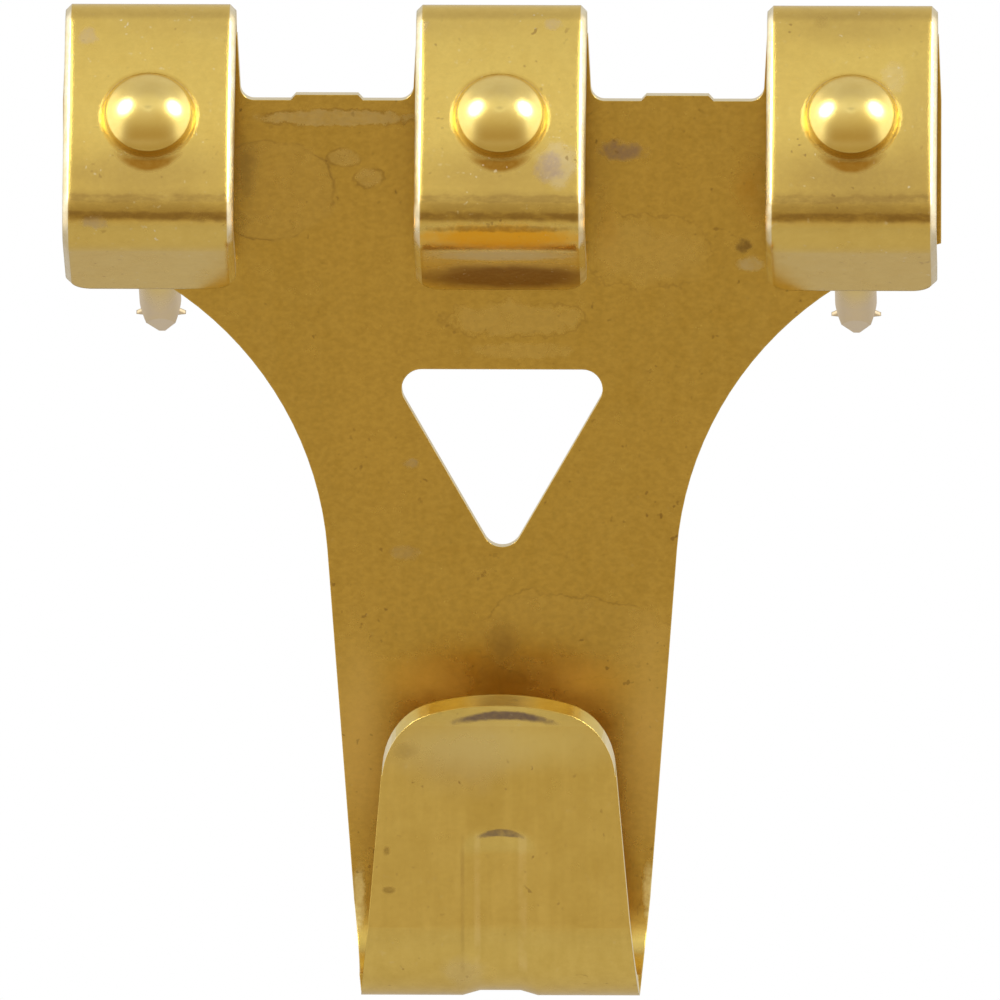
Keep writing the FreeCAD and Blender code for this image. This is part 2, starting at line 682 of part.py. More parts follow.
def main():
    """Build the pieces, check them and write one file each."""
    pieces = [make_hook_body()]
    for name, side in NAIL_SIDES.items():
        pieces.append(make_nail(name, side))
    doc.recompute()
    for item in doc.Objects:
        if "Invalid" in item.State or "Error" in item.State:
            raise RuntimeError(f"{item.Label} failed: {item.State}")
    for piece in pieces:
        if piece.Shape.isNull() or not piece.Shape.isValid():
            raise RuntimeError(f"{piece.Label} has no valid shape")
    os.makedirs("parts", exist_ok=True)
    for piece in pieces:
        piece.Shape.exportStep(f"parts/{piece.Label}.step")
        box = piece.Shape.BoundBox
        print(piece.Label, len(piece.Shape.Solids), round(piece.Shape.Volume, 2), box)


main()
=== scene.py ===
"""A brass-plated picture hook with three nails: its finishes, the studio and the camera."""
import logging
import math
from dataclasses import dataclass, field
from enum import Enum

import bpy
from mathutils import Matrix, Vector

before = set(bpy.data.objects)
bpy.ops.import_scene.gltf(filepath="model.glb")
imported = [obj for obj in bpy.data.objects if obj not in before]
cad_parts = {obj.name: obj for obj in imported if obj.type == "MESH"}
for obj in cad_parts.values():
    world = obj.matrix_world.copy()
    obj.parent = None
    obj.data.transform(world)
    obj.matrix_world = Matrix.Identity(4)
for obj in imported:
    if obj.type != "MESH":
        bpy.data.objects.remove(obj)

LOG = logging.getLogger("picture_hook")
MM = 0.001
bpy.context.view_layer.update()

# Steps on the sheet, in millimetres: where a mask is 0 and where it is 1.
AHEAD_OF_PLATE = (1.2, 1.6)
OFF_THE_WALL = (0.5, 0.9)
WITHIN_PLATE = (1.05, 1.0)
LOOPS_UP_FROM = (-20.0, -18.0)
ROLLED_TOP = (3.2, 3.5)
BELOW_ROLL = (3.0, 2.8)
ABOVE_BEND = (-40.4, -40.2)
LOOP_FRONT = (5.5, 6.5)
LIP_FRONT = (5.0, 6.0)
BEAD_DOWN_FROM = (-34.0, -35.0)
BEAD_SIDES = (4.2, 3.6)
HEAD_FRONT = (5.0, 5.6)
HEAD_FOOT = (-1.0, -1.6)
POINT_WEAR = (9.0, 12.5)
LOOP_MIDDLES = (-17.5, 0.0, 17.5)

# The relief of every metal, and its softened edges.
BEVEL_SAMPLES = 6
BUMP_STRENGTH = 0.12
BUMP_DEPTH = 0.02

Socket = bpy.types.NodeSocket
Colour = tuple[float, float, float]
Fed = float | Colour | Socket


class Side(Enum):
    """The face of the sheet that a mark lies on."""

    PLATE = "plate"
    LOOP = "loop"
    LIP = "lip"


class NodeWriter:
    """Writes shader nodes into one tree, a call for each node."""

    def __init__(self, tree: bpy.types.NodeTree) -> None:
        """Start on a tree.

        Args:
            tree: The material's, world's or group's node tree.
        """
        self.tree = tree

    def add(self, kind: str, **settings: object) -> bpy.types.Node:
        """Add a node and set its own settings.

        Args:
            kind: The node's type name.
            settings: Attributes of the node, by name.

        Returns:
            The new node.
        """
        node = self.tree.nodes.new(kind)
        for name, setting in settings.items():
            setattr(node, name, setting)
        return node

    def feed(self, socket: Socket, fed: Fed) -> None:
        """Link a socket to another one, or set its constant.

        Args:
            socket: The input socket.
            fed: An output socket, a number, a colour or a vector.
        """
        if isinstance(fed, bpy.types.NodeSocket):
            self.tree.links.new(fed, socket)
        elif isinstance(fed, tuple) and socket.type == "RGBA":
            socket.default_value = (*fed, 1.0)
        else:
            socket.default_value = fed

    def math(self, operation: str, *values: Fed, clamp: bool = False) -> Socket:
        """Add a Math node.

        Args:
            operation: The operation's name.
            values: Its inputs, in order.
            clamp: Whether the result is kept between 0 and 1.

        Returns:
            The result.
        """
        node = self.add("ShaderNodeMath", operation=operation, use_clamp=clamp)
        for socket, fed in zip(node.inputs, values):
            self.feed(socket, fed)
        return node.outputs[0]

    def vector(self, operation: str, *values: Fed) -> Socket:
        """Add a Vector Math node.

        Args:
            operation: The operation's name.
            values: Its inputs, in order.

        Returns:
            The resulting vector.
        """
        node = self.add("ShaderNodeVectorMath", operation=operation)
        for socket, fed in zip(node.inputs, values):
            self.feed(socket, fed)
        return node.outputs[0]

    def mix(self, factor: Fed, first: Fed, second: Fed, blend: str = "MIX") -> Socket:
        """Mix two colours.

        Args:
            factor: The second colour's share.
            first: The first colour.
            second: The second colour.
            blend: The way of mixing.

        Returns:
            The mixed colour.
        """
        node = self.add("ShaderNodeMix", data_type="RGBA", blend_type=blend, clamp_factor=True)
        for number, fed in ((0, factor), (6, first), (7, second)):
            self.feed(node.inputs[number], fed)
        return node.outputs[2]

    def lerp(self, factor: Fed, first: Fed, second: Fed) -> Socket:
        """Mix two numbers.

        Args:
            factor: The second number's share.
            first: The first number.
            second: The second number.

        Returns:
            The mixed number.
        """
        node = self.add("ShaderNodeMix", data_type="FLOAT", clamp_factor=True)
        for number, fed in ((0, factor), (2, first), (3, second)):
            self.feed(node.inputs[number], fed)
        return node.outputs[0]

    def step(self, fed: Fed, low: Fed, high: Fed) -> Socket:
        """A smooth step from 0 at one number to 1 at another.

        Args:
            fed: The number that is tested.
            low: Where the result is 0.
            high: Where the result is 1.

        Returns:
            The step's value.
        """
        node = self.add("ShaderNodeMapRange", interpolation_type="SMOOTHSTEP", clamp=True)
        for name, number in (("Value", fed), ("From Min", low), ("From Max", high)):
            self.feed(node.inputs[name], number)
        return node.outputs[0]

    def band(self, fed: Fed, middle: float, half: float, soft: float) -> Socket:
        """1 within a band of numbers and 0 outside it, with soft borders.

        Args:
            fed: The number that is tested.
            middle: The band's middle.
            half: Half of the band's width.
            soft: The width of each border.

        Returns:
            The band's value.
        """
        off = self.math("ABSOLUTE", self.math("SUBTRACT", fed, middle))
        return self.step(off, half + soft, half)

    def noise(self, point: Socket, scale: Fed, detail: float = 3.0, rough: float = 0.55) -> Socket:
        """A noise value about 0.5.

        Args:
            point: The place, as a vector.
            scale: The noise's scale.
            detail: How many octaves it has.
            rough: How strong the finer octaves are.

        Returns:
            The noise value.
        """
        node = self.add("ShaderNodeTexNoise")
        for name, fed in (("Vector", point), ("Scale", scale), ("Detail", detail), ("Roughness", rough)):
            self.feed(node.inputs[name], fed)
        return node.outputs["Fac"]

    def stretch(self, point: Socket, scale: tuple[float, float, float]) -> Socket:
        """A place stretched along each axis.

        Args:
            point: The place.
            scale: The factors along X, Y and Z.

        Returns:
            The stretched place.
        """
        return self.vector("MULTIPLY", point, scale)

    def use(self, group: bpy.types.NodeTree, **inputs: Fed) -> bpy.types.Node:
        """Place a shared node group.

        Args:
            group: The group.
            inputs: Its inputs by name, with _ for a space.

        Returns:
            The group's node.
        """
        node = self.add("ShaderNodeGroup", node_tree=group)
        for name, fed in inputs.items():
            self.feed(node.inputs[name.replace("_", " ")], fed)
        return node


def new_group(
    name: str, inputs: dict[str, float | None], outputs: dict[str, str]
) -> tuple[NodeWriter, dict[str, Socket], bpy.types.Node]:
    """Start a shader node group with named sockets.

    Args:
        name: The group's name.
        inputs: Each number input with its usual value, or None for a vector input.
        outputs: Each output with its socket type's short name.

    Returns:
        The group's writer, its input sockets by name, and the node that takes its outputs.
    """
    tree = bpy.data.node_groups.new(name, "ShaderNodeTree")
    for label, usual in inputs.items():
        kind = "NodeSocketVector" if usual is None else "NodeSocketFloat"
        socket = tree.interface.new_socket(label, in_out="INPUT", socket_type=kind)
        if usual is not None:
            socket.default_value = usual
    for label, kind in outputs.items():
        tree.interface.new_socket(label, in_out="OUTPUT", socket_type=f"NodeSocket{kind}")
    writer = NodeWriter(tree)
    source = writer.add("NodeGroupInput")
    target = writer.add("NodeGroupOutput")
    return writer, {socket.name: socket for socket in source.outputs if socket.name}, target


class SharedEffects:
    """The node groups that more than one finish uses."""

    def __init__(self) -> None:
        """Build every group once."""
        self.place = self._place()
        self.spot = self._spot()
        self.specks = self._specks()
        self.clouds = self._clouds()
        self.scratches = self._scratches()

    @staticmethod
    def _place() -> bpy.types.NodeTree:
        """The place on the part in millimetres: across, in front of the wall, and up.

        Returns:
            The group.
        """
        writer, _, target = new_group(
            "place_on_part", {}, {"Point": "Vector", "Across": "Float", "Front": "Float", "Height": "Float"}
        )
        source = writer.add("ShaderNodeTexCoord").outputs["Object"]
        point = writer.vector("MULTIPLY", source, (1 / MM, -1 / MM, 1 / MM))
        parts = writer.add("ShaderNodeSeparateXYZ")
        writer.feed(parts.inputs[0], point)
        writer.feed(target.inputs["Point"], point)
        for name, axis in (("Across", "X"), ("Front", "Y"), ("Height", "Z")):
            writer.feed(target.inputs[name], parts.outputs[axis])
        return writer.tree

    @staticmethod
    def _spot() -> bpy.types.NodeTree:
        """A ragged round mark: its body, and the darker rim that a dried drop leaves.

        Returns:
            The group.
        """
        inputs = {"Point": None, "Across": 0.0, "Height": 0.0, "Half Width": 1.0, "Half Height": 1.0,
                  "Curve": 0.0, "Ragged": 0.3, "Break": 1.0, "Grain": 0.5, "Soft": 0.4, "Line": 0.1}
        writer, given, target = new_group("ragged_spot", inputs, {"Body": "Float", "Rim": "Float"})
        parts = writer.add("ShaderNodeSeparateXYZ")
        writer.feed(parts.inputs[0], given["Point"])
        off_across = writer.math("SUBTRACT", parts.outputs["X"], given["Across"])
        sag = writer.math("MULTIPLY", writer.math("MULTIPLY", off_across, off_across), given["Curve"])
        off_height = writer.math("ADD", writer.math("SUBTRACT", parts.outputs["Z"], given["Height"]), sag)
        across = writer.math("DIVIDE", off_across, given["Half Width"])
        height = writer.math("DIVIDE", off_height, given["Half Height"])
        square = writer.math("ADD", writer.math("MULTIPLY", across, across), writer.math("MULTIPLY", height, height))
        ragged = writer.math("SUBTRACT", writer.noise(given["Point"], given["Break"], 5.0, 0.62), 0.5)
        reach = writer.math("ADD", writer.math("SQRT", square), writer.math("MULTIPLY", ragged, given["Ragged"]))
        edge = writer.math("SUBTRACT", 1.0, given["Soft"])
        grain = writer.step(writer.noise(given["Point"], 3.5, 4.0, 0.7), 0.3, 0.62)
        body = writer.step(reach, 1.0, edge)
        thinnest = writer.math("SUBTRACT", 1.0, given["Grain"])
        writer.feed(target.inputs["Body"], writer.math("MULTIPLY", body, writer.lerp(grain, thinnest, 1.0)))
        off = writer.math("ABSOLUTE", writer.math("SUBTRACT", reach, 0.93))
        broken = writer.step(writer.noise(given["Point"], 0.55, 3.0, 0.6), 0.38, 0.6)
        writer.feed(target.inputs["Rim"], writer.math("MULTIPLY", writer.step(off, given["Line"], 0.0), broken))
        return writer.tree

    @staticmethod
    def _specks() -> bpy.types.NodeTree:
        """Fine specks, thick in some places and absent in others.

        Returns:
            The group.
        """
        inputs = {"Point": None, "Scale": 2.6, "Cover": 0.5}
        writer, given, target = new_group("fine_specks", inputs, {"Mask": "Float"})
        dot = writer.step(writer.noise(given["Point"], given["Scale"], 1.5, 0.5), 0.68, 0.75)
        where = writer.step(writer.noise(given["Point"], 0.35, 2.0), writer.math("SUBTRACT", 1.0, given["Cover"]), 0.7)
        writer.feed(target.inputs["Mask"], writer.math("MULTIPLY", dot, where))
        return writer.tree

    @staticmethod
    def _clouds() -> bpy.types.NodeTree:
        """Slow, quick and fine level changes of tone over plating, each from 0 to 1.

        Returns:
            The group.
        """
        outputs = {"Slow": "Float", "Quick": "Float", "Fine": "Float"}
        writer, given, target = new_group("plating_clouds", {"Point": None}, outputs)
        slow = writer.noise(given["Point"], 0.11, 4.0, 0.6)
        quick = writer.noise(given["Point"], 0.9, 5.0, 0.65)
        fine = writer.noise(writer.stretch(given["Point"], (1.6, 1.6, 2.3)), 1.7, 5.0, 0.72)
        writer.feed(target.inputs["Slow"], writer.step(slow, 0.3, 0.7))
        writer.feed(target.inputs["Quick"], writer.step(quick, 0.25, 0.75))
        writer.feed(target.inputs["Fine"], writer.step(fine, 0.3, 0.7))
        return writer.tree

    @staticmethod
    def _scratches() -> bpy.types.NodeTree:
        """The heights of fine upright draw lines and a soft orange peel.

        Returns:
            The group.
        """
        inputs = {"Point": None, "Lines": 0.5, "Peel": 0.5}
        writer, given, target = new_group("fine_scratches", inputs, {"Height": "Float"})
        upright = writer.noise(writer.stretch(given["Point"], (9.0, 9.0, 0.28)), 1.0, 3.0, 0.6)
        wave = writer.noise(given["Point"], 1.6, 2.0, 0.5)
        lines = writer.math("MULTIPLY", writer.math("SUBTRACT", upright, 0.5), given["Lines"])
        peel = writer.math("MULTIPLY", writer.math("SUBTRACT", wave, 0.5), given["Peel"])
        writer.feed(target.inputs["Height"], writer.math("ADD", lines, peel))
        return writer.tree


def new_metal(name: str) -> tuple[bpy.types.Material, NodeWriter, bpy.types.Node]:
    """Start a metal material.

    Args:
        name: The material's name.

    Returns:
        The material, its writer and its shader.
    """
    material = bpy.data.materials.new(name)
    material.use_nodes = True
    shader = material.node_tree.nodes["Principled BSDF"]
    shader.inputs["Metallic"].default_value = 1.0
    return material, NodeWriter(material.node_tree), shader


def feed_metal(writer: NodeWriter, shader: bpy.types.Node, colour: Socket, rough: Socket, radius: Fed,
               relief: Socket) -> None:
    """Feed a metal's shader, with softened edges and a fine relief.

    Args:
        writer: The material's writer.
        shader: The material's shader.
        colour: The metal's colour.
        rough: The metal's roughness.
        radius: The radius of the softened edges, in metres.
        relief: The height of the relief.
    """
    bevel = writer.add("ShaderNodeBevel", samples=BEVEL_SAMPLES)
    writer.feed(bevel.inputs["Radius"], radius)
    bump = writer.add("ShaderNodeBump")
    for name, fed in (("Strength", BUMP_STRENGTH), ("Distance", BUMP_DEPTH * MM), ("Height", relief),
                      ("Normal", bevel.outputs[0])):
        writer.feed(bump.inputs[name], fed)
    for name, fed in (("Base Color", colour), ("Roughness", rough), ("Normal", bump.outputs[0])):
        writer.feed(shader.inputs[name], fed)


@dataclass(frozen=True)
class Mark:
    """A mark on one face of the sheet, be it a stain, a scuff, or painted shade, glow, highlight and reflection: its
    place and half sizes in millimetres, then its look.
    """

    side: Side
    across: float
    height: float
    half_width: float
    half_height: float
    tone: Colour
    strength: float
    ragged: float = 0.9
    soft: float = 0.6
    rim: float = 0.0
    curve: float = 0.0
    grain: float = 0.4
    dull: float = 0.5


GREY_STAIN: Colour = (0.50, 0.40, 0.30)
# Brown for stains, and for painted dark reflections on the middle loop and on the plate above the lip.
BROWN_STAIN_AND_DARK_REFLECTION: Colour = (0.24, 0.13, 0.035)
# Pale for stains and drops, and for a painted pale reflection on the middle loop.
PALE_STAIN_AND_REFLECTION: Colour = (0.72, 0.62, 0.40)
# Painted reflection: the orange band on the middle loop's lower face.
ORANGE_REFLECTION: Colour = (0.86, 0.44, 0.03)
# Painted shade: the bright brass as it looks in shade.
SHADED_BRASS: Colour = (0.50, 0.34, 0.10)
# Painted shadow under the nail heads.
HEAD_SHADOW: Colour = (0.30, 0.14, 0.012)
MAUVE_STAIN: Colour = (0.40, 0.27, 0.19)
RUSSET_TONE: Colour = (0.66, 0.34, 0.03)
PEELED_BRASS: Colour = (0.84, 0.64, 0.24)
GREENISH_BRASS: Colour = (0.86, 0.69, 0.24)
PALE_DROP: Colour = (0.80, 0.72, 0.52)
LILAC_STAIN: Colour = (0.47, 0.37, 0.34)
# Painted reflection: the dark band at the middle loop's end.
LOOP_END_REFLECTION: Colour = (0.27, 0.11, 0.005)
# Painted dark reflection on the lip.
LIP_DARK_REFLECTION: Colour = (0.24, 0.17, 0.12)
# Painted glow on the plate beside the lip.
LIP_SIDE_GLOW: Colour = (0.88, 0.62, 0.19)
ORANGE_GLOW: Colour = (0.92, 0.56, 0.09)
# Coined brass with a painted highlight.
COINED_BRASS_AND_HIGHLIGHT: Colour = (1.0, 0.88, 0.42)
# A soft, even mark that keeps the metal's shine.
SHEER: dict[str, float] = {"ragged": 0.4, "soft": 0.9, "grain": 0.2, "dull": 0.22}
SHEET_MARKS: tuple[Mark, ...] = (
    # Stains on the loops.
    Mark(Side.LOOP, -20.6, 3.5, 0.6, 0.5, GREY_STAIN, 0.45, ragged=1.3),
    Mark(Side.LOOP, -16.9, -1.3, 0.6, 0.6, GREY_STAIN, 0.5, ragged=1.3),
    Mark(Side.LOOP, -20.1, -5.2, 0.8, 0.4, GREY_STAIN, 0.5, ragged=1.3),
    Mark(Side.LOOP, -20.6, -2.8, 1.3, 0.8, BROWN_STAIN_AND_DARK_REFLECTION, 0.18, ragged=1.2, soft=0.9),
    Mark(Side.LOOP, 2.85, -2.4, 1.15, 1.15, PALE_DROP, 0.5, ragged=1.4, grain=0.3),
    Mark(Side.LOOP, 2.5, -2.5, 0.9, 0.85, LILAC_STAIN, 0.85, ragged=1.5),
    Mark(Side.LOOP, 2.6, 4.1, 0.5, 0.35, GREY_STAIN, 0.45, ragged=1.2),
    Mark(Side.LOOP, -3.9, 4.0, 0.4, 0.4, GREY_STAIN, 0.35, ragged=1.2),
    Mark(Side.LOOP, 19.6, 1.6, 0.8, 0.9, PALE_STAIN_AND_REFLECTION, 0.25, ragged=1.2),
    Mark(Side.LOOP, 16.0, 4.2, 0.5, 0.35, BROWN_STAIN_AND_DARK_REFLECTION, 0.25, ragged=1.2),
    # Painted shade on the loops' fronts: darker towards the top bend, towards the crease, and along the right loop's
    # right edge.
    Mark(Side.LOOP, -17.5, -2.8, 6.0, 2.1, SHADED_BRASS, 0.55, **SHEER),
    Mark(Side.LOOP, 0.0, -2.8, 6.0, 2.1, SHADED_BRASS, 0.48, **SHEER),
    Mark(Side.LOOP, 17.5, -2.9, 6.0, 2.4, SHADED_BRASS, 0.75, **SHEER),
    Mark(Side.LOOP, 20.8, -0.6, 1.8, 4.8, SHADED_BRASS, 0.4, **SHEER | {"ragged": 0.5}),
    Mark(Side.LOOP, 17.5, 4.0, 6.0, 1.2, SHADED_BRASS, 0.42, **SHEER),
    Mark(Side.LOOP, -8.75, 4.0, 16.0, 0.9, SHADED_BRASS, 0.3, **SHEER),
    # A painted shadow in a crescent under each nail head.
    *(
        Mark(Side.LOOP, middle, -2.45, 1.95, 0.4, HEAD_SHADOW, 0.95, ragged=0.3, curve=-0.2, grain=0.1)
        for middle in LOOP_MIDDLES
    ),
    # Painted reflections: orange, brown, pale and dark bands where the middle strip turns back to the plate.
    Mark(Side.LOOP, 0.0, -5.95, 5.4, 0.85, ORANGE_REFLECTION, 1.0, ragged=0.6, grain=0.1),
    Mark(Side.LOOP, 0.0, -5.5, 5.0, 0.22, BROWN_STAIN_AND_DARK_REFLECTION, 0.5, ragged=1.3),
    Mark(Side.LOOP, 0.0, -7.05, 4.4, 0.42, PALE_STAIN_AND_REFLECTION, 0.7, ragged=0.6, grain=0.2),
    Mark(Side.LOOP, 0.4, -8.5, 6.0, 1.15, LOOP_END_REFLECTION, 0.95, ragged=0.4, grain=0.1),
    # Stains and dried drops on the plate, with darker russet and brown beside the loops' edges.
    Mark(Side.PLATE, 6.0, -2.5, 1.5, 0.6, MAUVE_STAIN, 0.8, ragged=1.2),
    Mark(Side.PLATE, 12.4, -4.4, 1.3, 2.8, RUSSET_TONE, 0.55, ragged=1.0, soft=1.0, grain=0.3),
    Mark(Side.PLATE, 5.3, -6.6, 0.9, 2.6, RUSSET_TONE, 0.3, ragged=1.0, soft=1.0, grain=0.3),
    Mark(Side.PLATE, 12.1, -7.3, 0.5, 0.45, BROWN_STAIN_AND_DARK_REFLECTION, 0.8, ragged=1.2),
    Mark(Side.PLATE, 12.4, -8.2, 0.75, 0.5, PALE_STAIN_AND_REFLECTION, 0.55, ragged=1.2),
    Mark(Side.PLATE, -12.7, -3.6, 0.8, 2.2, BROWN_STAIN_AND_DARK_REFLECTION, 0.3, soft=1.0),
    Mark(Side.PLATE, -8.4, -0.9, 4.2, 0.45, PALE_STAIN_AND_REFLECTION, 0.35, ragged=1.1, soft=0.3, rim=0.35),
    Mark(Side.PLATE, -7.9, -2.9, 0.9, 0.5, PALE_STAIN_AND_REFLECTION, 0.16, soft=0.3, rim=0.4),
    Mark(Side.PLATE, -6.7, -3.9, 0.8, 0.55, PALE_STAIN_AND_REFLECTION, 0.16, soft=0.3, rim=0.4),
    Mark(Side.PLATE, -11.6, -4.6, 3.6, 2.6, PALE_STAIN_AND_REFLECTION, 0.05, ragged=0.5, soft=0.1, rim=0.4),
    Mark(Side.PLATE, 7.4, -7.6, 3.6, 2.1, PEELED_BRASS, 0.2, ragged=1.2, soft=0.5, rim=0.25, grain=0.2),
    Mark(Side.PLATE, 0.6, -11.0, 3.9, 1.0, PEELED_BRASS, 0.25, ragged=1.4, soft=0.4, rim=0.25, grain=0.2),
    Mark(Side.PLATE, 1.0, -12.6, 3.4, 0.5, PEELED_BRASS, 0.2, ragged=1.4, soft=0.5, grain=0.2),
    Mark(Side.PLATE, -4.5, -18.3, 0.45, 0.3, GREY_STAIN, 0.5, ragged=1.2),
    Mark(Side.PLATE, -4.9, -22.8, 0.9, 0.5, GREY_STAIN, 0.3, ragged=1.2),
    Mark(Side.PLATE, 3.0, -27.0, 5.2, 2.4, PALE_STAIN_AND_REFLECTION, 0.04, soft=0.2, rim=0.3),
    # Painted light around the lip: its dark reflection in the plate above it, an orange glow on the plate at its
    # sides, and coined metal with a painted highlight where the plate curls into the bend.
    # A painted dark reflection of the lip in the plate.
    Mark(Side.PLATE, 0.05, -27.4, 1.3, 1.7, BROWN_STAIN_AND_DARK_REFLECTION, 0.4, ragged=0.8, soft=1.0, grain=0.1),
    # A painted orange glow on the plate at the lip's sides.
    Mark(Side.PLATE, -3.9, -29.2, 3.4, 2.0, ORANGE_GLOW, 0.6, ragged=0.8, soft=1.0, grain=0.0),
    Mark(Side.PLATE, 4.2, -29.2, 3.4, 2.0, ORANGE_GLOW, 0.65, ragged=0.8, soft=1.0, grain=0.0),
    Mark(Side.PLATE, -7.2, -32.0, 2.4, 8.0, LIP_SIDE_GLOW, 0.6, ragged=0.5, soft=1.0, grain=0.0),
    Mark(Side.PLATE, 7.4, -32.0, 2.4, 8.0, LIP_SIDE_GLOW, 0.6, ragged=0.5, soft=1.0, grain=0.0),
    # Coined, roughened metal with a painted highlight where the plate curls into the bend.
    Mark(Side.PLATE, -7.15, -40.2, 0.4, 2.0, COINED_BRASS_AND_HIGHLIGHT, 0.95),
    Mark(Side.PLATE, 7.35, -40.0, 0.4, 1.8, COINED_BRASS_AND_HIGHLIGHT, 0.95),
    # A paler tone, spots, and painted dark reflections on the lip.
    Mark(Side.LIP, 0.0, -31.2, 9.0, 2.0, GREENISH_BRASS, 0.9, **SHEER | {"grain": 0.1}),
    # A painted dark reflection under the lip's flared top edge.
    Mark(Side.LIP, 0.25, -29.78, 3.1, 0.3, LIP_DARK_REFLECTION, 1.0, ragged=0.6, soft=0.5, curve=0.06, grain=0.15),
    # A painted dark reflection at the bead's top end.
    Mark(Side.LIP, 0.1, -35.75, 1.35, 0.24, LIP_DARK_REFLECTION, 0.8, ragged=0.5, soft=0.4, curve=0.2),
    Mark(Side.LIP, -2.0, -31.8, 4.4, 2.6, PALE_STAIN_AND_REFLECTION, 0.22, soft=0.9, grain=0.0),
    Mark(Side.LIP, -4.6, -31.6, 0.9, 0.6, BROWN_STAIN_AND_DARK_REFLECTION, 0.22, ragged=1.2, soft=0.9),
    Mark(Side.LIP, -1.8, -43.0, 1.4, 1.2, PALE_STAIN_AND_REFLECTION, 0.2, ragged=1.1, soft=0.7, grain=0.1),
    Mark(Side.LIP, -5.6, -36.7, 0.22, 0.28, BROWN_STAIN_AND_DARK_REFLECTION, 0.5),
    Mark(Side.LIP, -5.5, -38.7, 0.42, 0.2, BROWN_STAIN_AND_DARK_REFLECTION, 0.5),
)


@dataclass(frozen=True)
class SheetBrass:
    """Bright brass plating on the folded sheet, tarnished and stained, with pale sheared edges."""

    bright: Colour = (0.777, 0.567, 0.152)
    tarnish: Colour = (0.66, 0.43, 0.085)
    sheared: Colour = (0.80, 0.70, 0.46)
    # Pale for dust, and for the painted highlights on the loops' bevelled borders.
    dust_and_edge_highlight: Colour = (0.88, 0.80, 0.58)
    # Painted highlight along the bead's walls.
    bead_highlight: Colour = (0.90, 0.68, 0.25)
    # Dark dirt for specks and drop rims, and painted shade at the creases and beside the bead.
    grime_and_shade: Colour = (0.30, 0.17, 0.05)
    mottle: tuple[Colour, Colour] = ((0.89, 0.87, 0.83), (1.11, 1.12, 1.14))
    cloud: tuple[Colour, Colour] = ((0.93, 0.91, 0.82), (1.06, 1.09, 1.14))
    streak: tuple[Colour, Colour] = ((0.97, 0.96, 0.91), (1.07, 1.08, 1.12))
    roughness: float = 0.22
    sheared_roughness: float = 0.42
    draw_lines: float = 0.5
    orange_peel: float = 0.35
    speck_strength: float = 0.6
    plate_edge_radius: float = 0.08
    loop_edge_radius: float = 0.34
    bead_radius: float = 0.5
    rim_line: float = 0.09
    smallest_break: float = 0.4
    bead_run: tuple[float, float, float] = (-39.4, 3.2, 0.6)
    bead_left: tuple[float, float, float] = (-1.08, 0.08, 0.14)
    bead_right: tuple[float, float, float] = (1.18, 0.12, 0.18)
    # Where the painted shade line lies beside the bead.
    bead_shade_line: tuple[float, float, float] = (-1.82, 0.03, 0.12)
    crease_strong: tuple[float, float, float] = (-4.85, 0.08, 0.3)
    crease_faint: tuple[float, float, float] = (-4.02, 0.1, 0.25)
    crease_shade_band: tuple[float, float, float] = (-4.35, 0.25, 0.7)
    marks: tuple[Mark, ...] = SHEET_MARKS

    def make(self, effects: SharedEffects) -> bpy.types.Material:
        """Build the material.

        Args:
            effects: The shared node groups.

        Returns:
            The material.
        """
        material, writer, shader = new_metal("sheet_brass_plating")
        place = writer.use(effects.place)
        point, across, front, height = (place.outputs[name] for name in ("Point", "Across", "Front", "Height"))
        clouds = writer.use(effects.clouds, Point=point)
        scratches = writer.use(effects.scratches, Point=point, Lines=self.draw_lines, Peel=self.orange_peel)
        sides = self._sides(writer, front, height)

        colour = self._plating(writer, clouds, point, sides)
        rough = writer.lerp(clouds.outputs["Quick"], self.roughness - 0.03, self.roughness + 0.06)
        colour, rough = self._stains_and_painted_light(writer, effects, point, front, sides, colour, rough)
        # Painted shade along the loops' creases.
        colour = writer.mix(self._crease_shade(writer, point, front, height), colour, self.grime_and_shade)
        colour = self._specks_and_dust(writer, effects, point, sides, colour)
        # Painted highlights on the loops' bevelled borders.
        colour = writer.mix(self._edge_highlights(writer, clouds, sides), colour, self.dust_and_edge_highlight)
        # Painted highlights and shade along the bead.
        pale, dark = self._bead_shading(writer, point, across, height, sides[Side.LIP])
        colour = writer.mix(pale, colour, self.bead_highlight)
        colour = writer.mix(dark, colour, self.grime_and_shade)
        edge = self._sheared_edges(writer, front, height)
        colour = writer.mix(edge, colour, self.sheared)
        rough = writer.lerp(edge, rough, self.sheared_roughness)
        radius = self._edge_radius(writer, across, front, height, sides)
        feed_metal(writer, shader, colour, rough, radius, scratches.outputs["Height"])
        return material

    def _plating(self, writer: NodeWriter, clouds: bpy.types.Node, point: Socket,
                 sides: dict[Side, Socket]) -> Socket:
        """The plating's colour: tarnish, mottling, clouds and upright streaks.

        Args:
            writer: The material's writer.
            clouds: The plating's changes of tone.
            point: The place on the part.
            sides: The mask of each side.

        Returns:
            The colour before any mark.
        """
        tarnish = writer.lerp(clouds.outputs["Slow"], 0.15, 0.75)
        tarnish = writer.math("MULTIPLY", tarnish, writer.lerp(clouds.outputs["Quick"], 0.6, 1.1))
        tarnish = writer.math("MULTIPLY", tarnish, writer.lerp(sides[Side.PLATE], 0.35, 1.0))
        colour = writer.mix(tarnish, self.bright, self.tarnish)
        streaks = writer.noise(writer.stretch(point, (1.3, 1.3, 0.14)), 1.0, 4.0, 0.6)
        for tone, tones, share in (
            (clouds.outputs["Fine"], self.mottle, writer.lerp(sides[Side.PLATE], 0.25, 0.7)),
            (clouds.outputs["Slow"], self.cloud, writer.math("SUBTRACT", 1.0, sides[Side.LOOP])),
            (writer.step(streaks, 0.3, 0.7), self.streak, writer.lerp(sides[Side.LIP], 0.35, 0.75)),
        ):
            colour = writer.mix(share, colour, writer.mix(tone, *tones), "MULTIPLY")
        return colour

